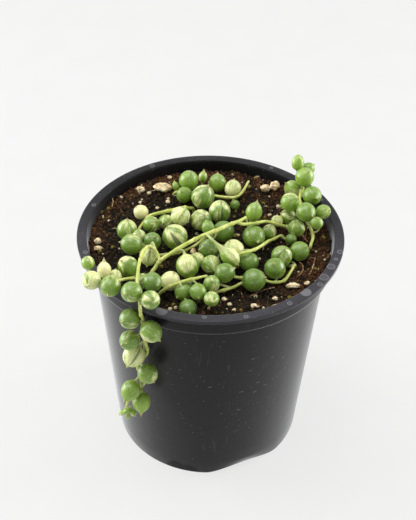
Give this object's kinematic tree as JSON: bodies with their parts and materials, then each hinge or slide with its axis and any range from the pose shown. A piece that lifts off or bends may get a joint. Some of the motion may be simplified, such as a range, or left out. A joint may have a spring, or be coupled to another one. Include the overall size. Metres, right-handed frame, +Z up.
{
  "type": "potted string of pearls",
  "caption": "Trailing succulent with bead-like leaves on thin stems, growing in dark soil in a round black nursery pot; one strand hangs over the rim.",
  "frame": {"origin": "middle of the pot's base, on the surface that the pot stands on", "axes": "+Z up through the pot's axis; -Y towards the front, where the hanging strand falls at the left; +X to the right"},
  "size_m": [0.105, 0.1061, 0.1114],
  "materials": {
    "pot_plastic": "satin black moulded plastic with dust, water marks and fine scratches",
    "soil": null,
    "pumice": "rough pale pumice",
    "stem": null,
    "leaf": null
  },
  "bodies": {
    "root": {"nursery_pot": "pot_plastic", "pearl_back_1": "leaf", "pearl_back_2": "leaf", "pearl_back_3": "leaf", "pearl_branch_1": "leaf", "pearl_branch_2": "leaf", "pearl_creeping_1": "leaf", "pearl_creeping_2": "leaf", "pearl_creeping_3": "leaf", "pearl_front_right_1": "leaf", "pearl_front_right_2": "leaf", "pearl_knot_1": "leaf", "pearl_knot_2": "leaf", "pearl_knot_3": "leaf", "pearl_left_1": "leaf", "pearl_left_2": "leaf", "pearl_left_3": "leaf", "pearl_low_left_1": "leaf", "pearl_low_left_2": "leaf", "pearl_low_left_3": "leaf", "pearl_low_left_4": "leaf", "pearl_low_left_5": "leaf", "pearl_low_left_6": "leaf", "pearl_main_1": "leaf", "pearl_main_2": "leaf", "pearl_nest_1": "leaf", "pearl_nest_2": "leaf", "pearl_nest_3": "leaf", "pearl_nest_4": "leaf", "pearl_nest_5": "leaf", "pearl_trailing_1": "leaf", "pearl_trailing_10": "leaf", "pearl_trailing_11": "leaf", "pearl_trailing_2": "leaf", "pearl_trailing_3": "leaf", "pearl_trailing_4": "leaf", "pearl_trailing_5": "leaf", "pearl_trailing_6": "leaf", "pearl_trailing_7": "leaf", "pearl_trailing_8": "leaf", "pearl_trailing_9": "leaf", "pearl_upright_1": "leaf", "pearl_upright_2": "leaf", "pearl_upright_3": "leaf", "pearl_upright_4": "leaf", "pearl_upright_5": "leaf", "potting_soil": "soil", "pumice_grain": "pumice", "stem_back": "stem", "stem_branch": "stem", "stem_creeping": "stem", "stem_front": "stem", "stem_front_right": "stem", "stem_knot": "stem", "stem_left": "stem", "stem_low_left": "stem", "stem_main": "stem", "stem_nest": "stem", "stem_trailing": "stem", "stem_upright": "stem"}
  },
  "joints": []
}
